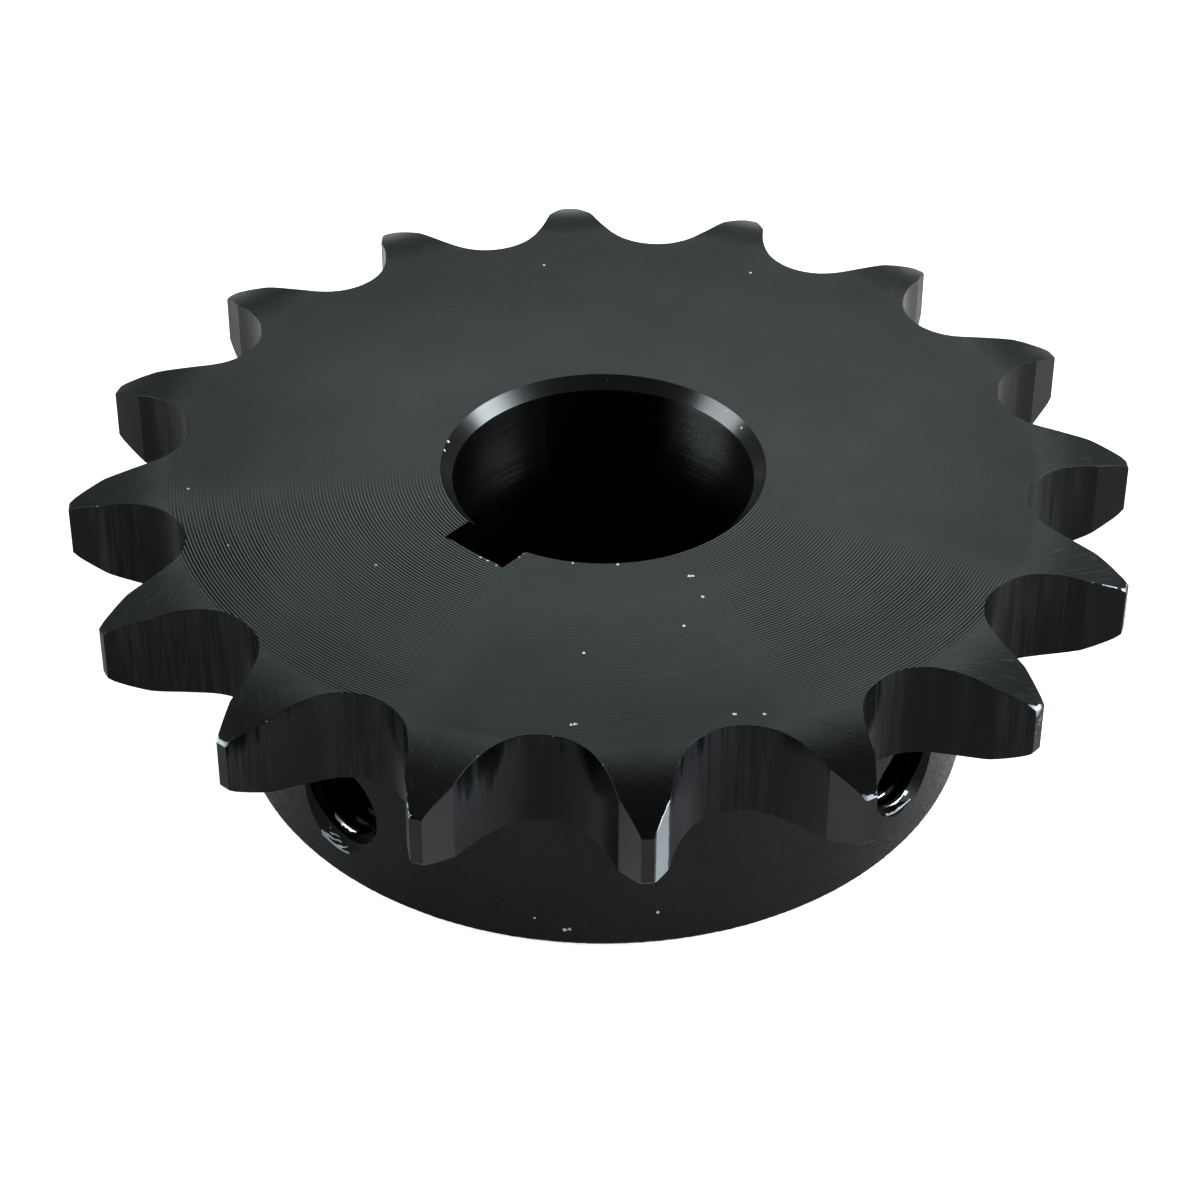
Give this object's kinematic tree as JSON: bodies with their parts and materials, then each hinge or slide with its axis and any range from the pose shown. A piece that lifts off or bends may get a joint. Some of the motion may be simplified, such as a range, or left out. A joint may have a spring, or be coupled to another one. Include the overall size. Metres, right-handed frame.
{
  "type": "chain sprocket",
  "caption": "Roller chain sprocket with a hub on one side, a finished bore with a keyway and radial tapped holes for set screws.",
  "frame": {"origin": "on the axis of the bore, at the hub's end face, which the sprocket stands on", "axes": "+Z along the bore's axis, from the hub's end face to the toothed plate; +X through the middle of the keyway and of the tooth over it; +Y is 3 degrees short of the second tapped hole"},
  "size_m": [0.0896, 0.0896, 0.0254],
  "materials": {
    "black_oxide_steel": "black oxide, satin, lightly oiled"
  },
  "bodies": {
    "root": {"sprocket": "black_oxide_steel"}
  },
  "joints": []
}
